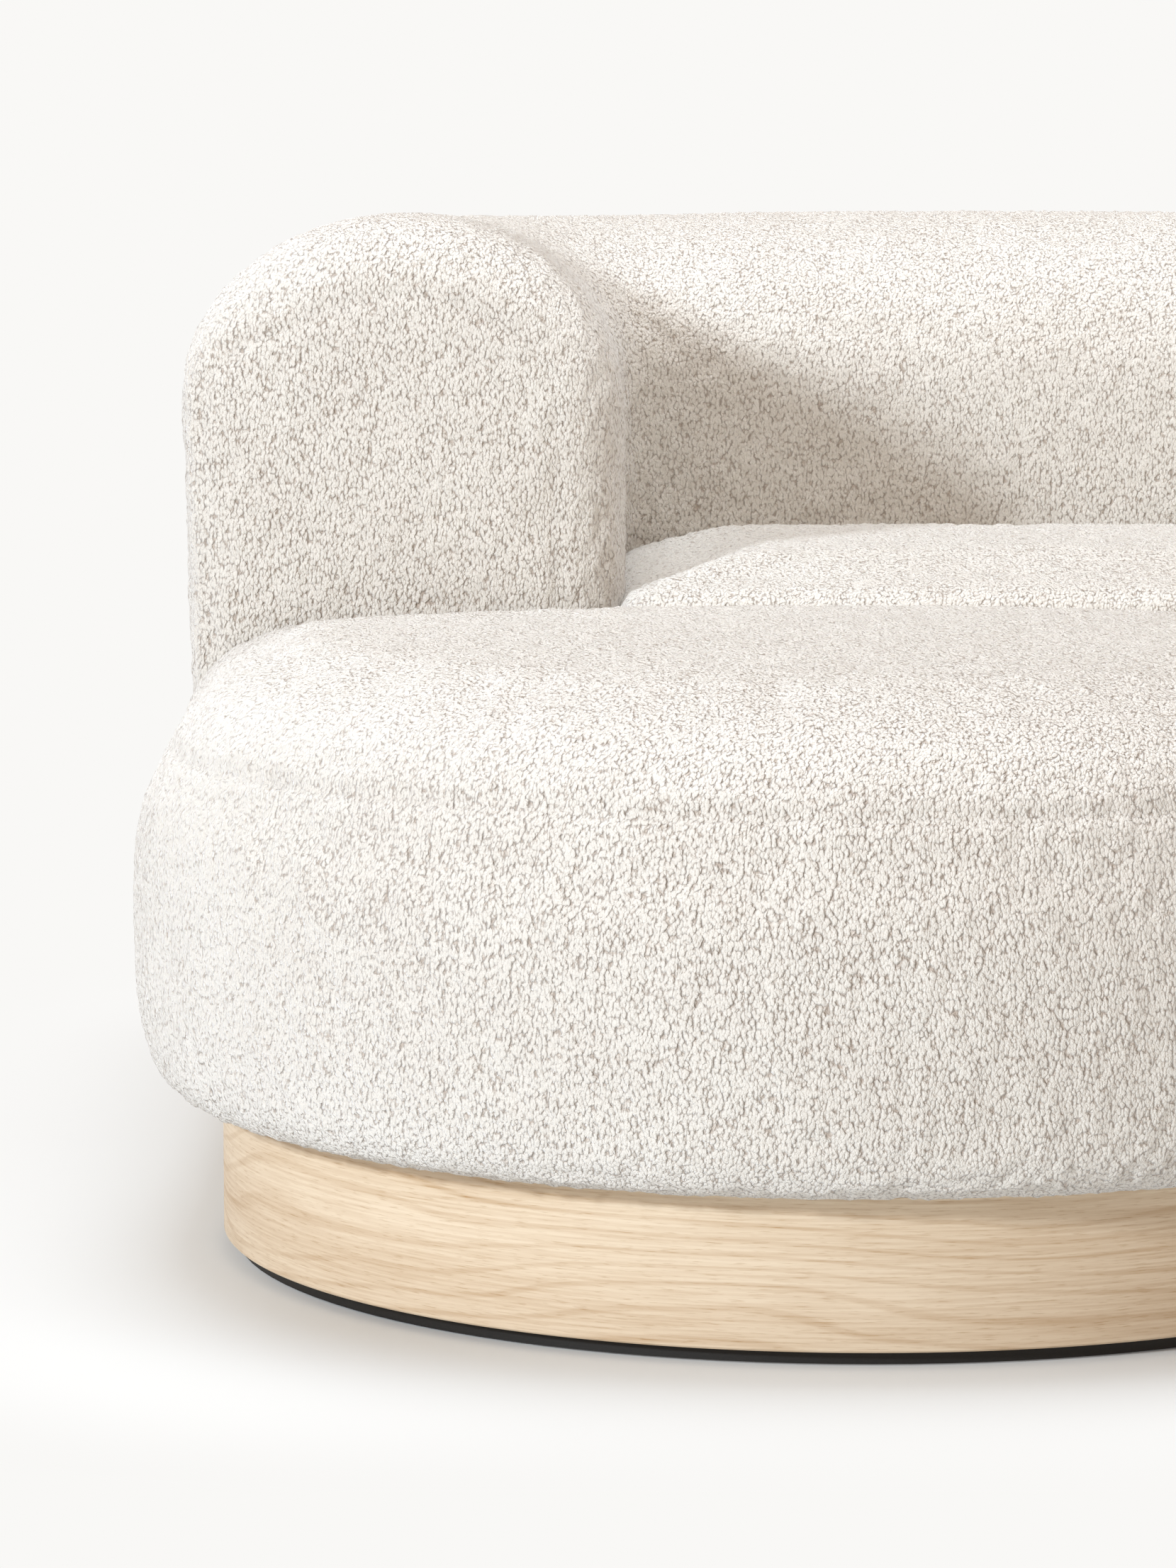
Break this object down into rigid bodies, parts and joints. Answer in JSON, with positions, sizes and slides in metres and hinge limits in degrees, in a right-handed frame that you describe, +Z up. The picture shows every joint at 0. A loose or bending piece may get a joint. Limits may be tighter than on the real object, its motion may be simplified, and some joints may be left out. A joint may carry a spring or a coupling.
{
  "type": "lounge sofa",
  "caption": "Low lounge sofa with a half-round chaise end, one thick rounded wrap for arms and back, loose seat cushions and a recessed oak plinth.",
  "frame": {"origin": "on the floor under the middle of the overall box", "axes": "+X to the right seen from the front, +Y to the back, +Z up"},
  "size_m": [2.5, 1.6058, 0.71],
  "materials": {
    "oak_veneer": "matt lacquered pale oak",
    "plywood": "raw sanded birch plywood",
    "softwood": "planed pine",
    "boucle": "looped cream boucle",
    "foam": "cut polyurethane foam",
    "felt": "needled grey felt",
    "spring_steel": "oil-hardened wire",
    "zinc_steel": "zinc plated",
    "black_nylon": "moulded, matt",
    "zip_plastic": "cream coil zip"
  },
  "bodies": {
    "sofa": {"chaise_plinth_band": "oak_veneer", "settee_plinth_band": "oak_veneer", "chaise_gap_strip": "black_nylon", "settee_gap_strip": "black_nylon", "chaise_plinth_deck": "plywood", "settee_plinth_deck": "plywood", "chaise_plinth_braces": "softwood", "settee_plinth_braces": "softwood", "plinth_glide_blocks": "softwood", "plinth_glides": "black_nylon", "glide_screws": "zinc_steel", "plinth_bolts": "zinc_steel", "chaise_base_panel": "plywood", "chaise_front_rail": "plywood", "chaise_left_rail": "softwood", "chaise_corner_rail": "plywood", "chaise_back_rail": "softwood", "chaise_right_rail": "softwood", "chaise_cross_rails": "softwood", "chaise_front_deck": "plywood", "chaise_deck_felt": "felt", "chaise_base_cover": "boucle", "chaise_border_foam": "foam", "chaise_front_foam": "foam", "settee_base_panel": "plywood", "settee_front_rail": "softwood", "settee_right_rail": "softwood", "settee_corner_rail": "plywood", "settee_back_rail": "softwood", "settee_left_rail": "softwood", "settee_cross_rails": "softwood", "settee_deck_felt": "felt", "settee_base_cover": "boucle", "settee_border_foam": "foam", "seat_springs": "spring_steel", "spring_clips": "zinc_steel", "unit_joining_bolts": "zinc_steel", "chaise_wrap_cover": "boucle", "chaise_arm_foam": "foam", "chaise_corner_foam": "foam", "chaise_back_foam": "foam", "chaise_arm_ribs": "plywood", "chaise_arm_skins": "plywood", "chaise_back_ribs": "plywood", "chaise_back_skins": "plywood", "chaise_corner_post": "softwood", "settee_wrap_cover": "boucle", "settee_arm_foam": "foam", "settee_corner_foam": "foam", "settee_back_foam": "foam", "settee_arm_ribs": "plywood", "settee_arm_skins": "plywood", "settee_back_ribs": "plywood", "settee_back_skins": "plywood", "settee_corner_post": "softwood"},
    "left_cushion": {"left_cushion_cover": "boucle", "left_cushion_core": "foam", "left_cushion_zip": "zip_plastic"},
    "right_cushion": {"right_cushion_cover": "boucle", "right_cushion_core": "foam", "right_cushion_zip": "zip_plastic"}
  },
  "joints": [
    {"name": "left_cushion_lift", "type": "slide", "parent": "sofa", "child": "left_cushion", "axis": [0, 0, 1], "range_m": [0, 0.3]},
    {"name": "right_cushion_lift", "type": "slide", "parent": "sofa", "child": "right_cushion", "axis": [0, 0, 1], "range_m": [0, 0.3]}
  ]
}
